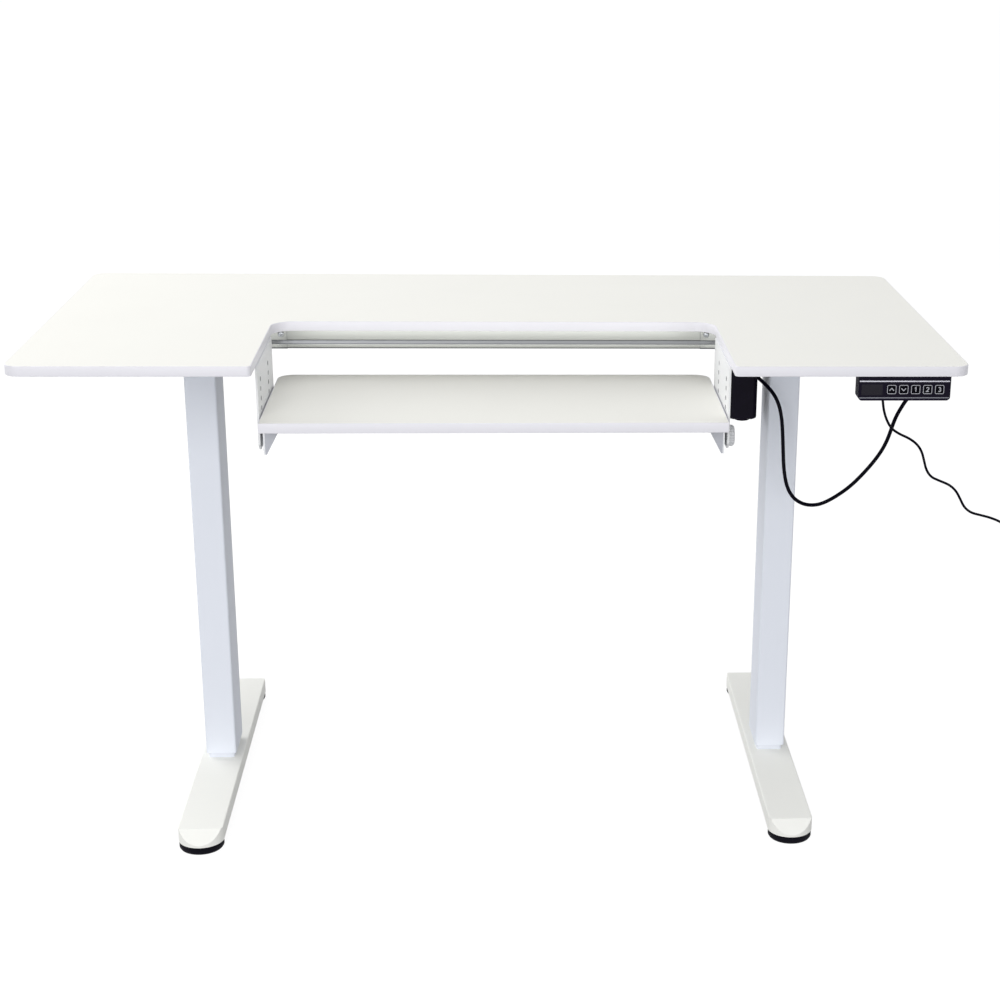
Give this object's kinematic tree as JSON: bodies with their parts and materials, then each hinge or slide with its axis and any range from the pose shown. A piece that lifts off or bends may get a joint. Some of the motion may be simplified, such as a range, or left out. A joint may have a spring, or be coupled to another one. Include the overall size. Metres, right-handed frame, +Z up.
{
  "type": "sewing machine table",
  "caption": "Height-adjustable sewing table: white board with a U-shaped cut-out, drop shelf for the machine, lifting columns on flat feet, motor on the crossbar, and a key panel with a cord.",
  "frame": {"origin": "on the floor, under the middle of the board", "axes": "+X to the right along the board, +Y from the front edge to the back, +Z up"},
  "size_m": [1.4213, 0.6, 0.68],
  "materials": {
    "white_board": "white faced board, satin",
    "edge_band": "white edge band, satin",
    "white_paint": "fine white powder coat",
    "inner_steel": "white powder coat",
    "rail_metal": "silver grey, satin",
    "steel": "zinc plated",
    "gear_housing": "cast",
    "glide_plastic": "moulded",
    "black_plastic": "fine grain",
    "pad_rubber": "matt",
    "knob_plastic": "moulded, light grey",
    "key_plastic": "gloss",
    "face_film": "gloss",
    "display": "dark window",
    "trim_metal": "bright",
    "circuit_board": "solder mask",
    "cord_jacket": "smooth",
    "plug_plastic": "moulded",
    "pin_brass": "nickel plated",
    "tie_fabric": "woven strap"
  },
  "bodies": {
    "base": {"foot_left": "white_paint", "foot_right": "white_paint", "inner_tube_left": "inner_steel", "inner_tube_right": "inner_steel", "column_end_plates": "steel", "foot_bolts": "steel", "upper_glides": "glide_plastic", "drive_nuts": "glide_plastic", "power_cord_coil": "cord_jacket", "cord_tie": "tie_fabric", "power_plug": "plug_plastic", "plug_pins": "pin_brass"},
    "top": {"tabletop": "white_board", "tabletop_edge": "edge_band", "top_screws": "steel", "top_bracket_left": "white_paint", "top_bracket_right": "white_paint", "rail_center": "rail_metal", "rail_left": "rail_metal", "rail_right": "rail_metal", "rail_screws": "steel", "outer_tube_left": "white_paint", "outer_tube_right": "white_paint", "lower_glides": "glide_plastic", "column_gearboxes": "gear_housing", "gear_motor": "gear_housing", "motor_cover": "black_plastic", "motor_gland": "black_plastic", "side_plate_left": "white_paint", "side_plate_right": "white_paint", "guide_pins": "steel", "clamp_spacers": "steel", "clamp_nuts": "steel", "panel_housing": "black_plastic", "panel_face": "face_film", "display_window": "display", "panel_trim": "trim_metal", "key_board": "circuit_board", "panel_glands": "black_plastic", "motor_cable": "cord_jacket", "power_cord": "cord_jacket"},
    "shelf": {"shelf_board": "white_board", "shelf_edge": "edge_band", "shelf_bracket_left": "white_paint", "shelf_bracket_right": "white_paint", "shelf_screws": "steel"},
    "knob_left_body": {"knob_left": "knob_plastic"},
    "knob_right_body": {"knob_right": "knob_plastic"},
    "spindle_left_body": {"spindle_left": "steel"},
    "spindle_right_body": {"spindle_right": "steel"},
    "cross_shaft_body": {"cross_shaft": "steel"},
    "pad_front_left_body": {"pad_front_left": "pad_rubber"},
    "pad_rear_left_body": {"pad_rear_left": "pad_rubber"},
    "pad_front_right_body": {"pad_front_right": "pad_rubber"},
    "pad_rear_right_body": {"pad_rear_right": "pad_rubber"},
    "key_up_body": {"key_up": "key_plastic"},
    "key_down_body": {"key_down": "key_plastic"},
    "key_one_body": {"key_one": "key_plastic"},
    "key_two_body": {"key_two": "key_plastic"},
    "key_three_body": {"key_three": "key_plastic"}
  },
  "joints": [
    {"name": "lift", "type": "slide", "parent": "base", "child": "top", "axis": [0, 0, 1], "range_m": [0, 0.46], "deforming": ["power_cord"]},
    {"name": "spindle_left_turn", "type": "hinge", "parent": "top", "child": "spindle_left_body", "pos_m": [-0.4035, 0.005, 0.3], "axis": [0, 0, 1], "continuous": true},
    {"name": "spindle_right_turn", "type": "hinge", "parent": "top", "child": "spindle_right_body", "pos_m": [0.4035, 0.005, 0.3], "axis": [0, 0, 1], "continuous": true},
    {"name": "cross_shaft_turn", "type": "hinge", "parent": "top", "child": "cross_shaft_body", "pos_m": [0, 0.005, 0.653], "axis": [1, 0, 0], "continuous": true},
    {"name": "shelf_height", "type": "slide", "parent": "top", "child": "shelf", "axis": [0, 0, 1], "range_m": [-0.00635, 0.00635]},
    {"name": "knob_left_turn", "type": "hinge", "parent": "top", "child": "knob_left_body", "pos_m": [-0.305, -0.132, 0.5683], "axis": [1, 0, 0], "continuous": true},
    {"name": "knob_right_turn", "type": "hinge", "parent": "top", "child": "knob_right_body", "pos_m": [0.305, -0.218, 0.5683], "axis": [1, 0, 0], "continuous": true},
    {"name": "pad_front_left_turn", "type": "hinge", "parent": "base", "child": "pad_front_left_body", "pos_m": [-0.4035, -0.2485, 0.005], "axis": [0, 0, 1], "continuous": true},
    {"name": "pad_rear_left_turn", "type": "hinge", "parent": "base", "child": "pad_rear_left_body", "pos_m": [-0.4035, 0.2585, 0.005], "axis": [0, 0, 1], "continuous": true},
    {"name": "pad_front_right_turn", "type": "hinge", "parent": "base", "child": "pad_front_right_body", "pos_m": [0.4035, -0.2485, 0.005], "axis": [0, 0, 1], "continuous": true},
    {"name": "pad_rear_right_turn", "type": "hinge", "parent": "base", "child": "pad_rear_right_body", "pos_m": [0.4035, 0.2585, 0.005], "axis": [0, 0, 1], "continuous": true},
    {"name": "key_up_press", "type": "slide", "parent": "top", "child": "key_up_body", "axis": [0, 1, 0], "range_m": [0, 0.0008], "stiffness_N_per_m": 1500},
    {"name": "key_down_press", "type": "slide", "parent": "top", "child": "key_down_body", "axis": [0, 1, 0], "range_m": [0, 0.0008], "stiffness_N_per_m": 1500},
    {"name": "key_one_press", "type": "slide", "parent": "top", "child": "key_one_body", "axis": [0, 1, 0], "range_m": [0, 0.0008], "stiffness_N_per_m": 1500},
    {"name": "key_two_press", "type": "slide", "parent": "top", "child": "key_two_body", "axis": [0, 1, 0], "range_m": [0, 0.0008], "stiffness_N_per_m": 1500},
    {"name": "key_three_press", "type": "slide", "parent": "top", "child": "key_three_body", "axis": [0, 1, 0], "range_m": [0, 0.0008], "stiffness_N_per_m": 1500}
  ],
  "couplings": [
    {"joint": "spindle_left_turn", "follows": "lift", "rad_per_m": 628.32},
    {"joint": "spindle_right_turn", "follows": "lift", "rad_per_m": 628.32},
    {"joint": "cross_shaft_turn", "follows": "lift", "rad_per_m": 628.32}
  ]
}
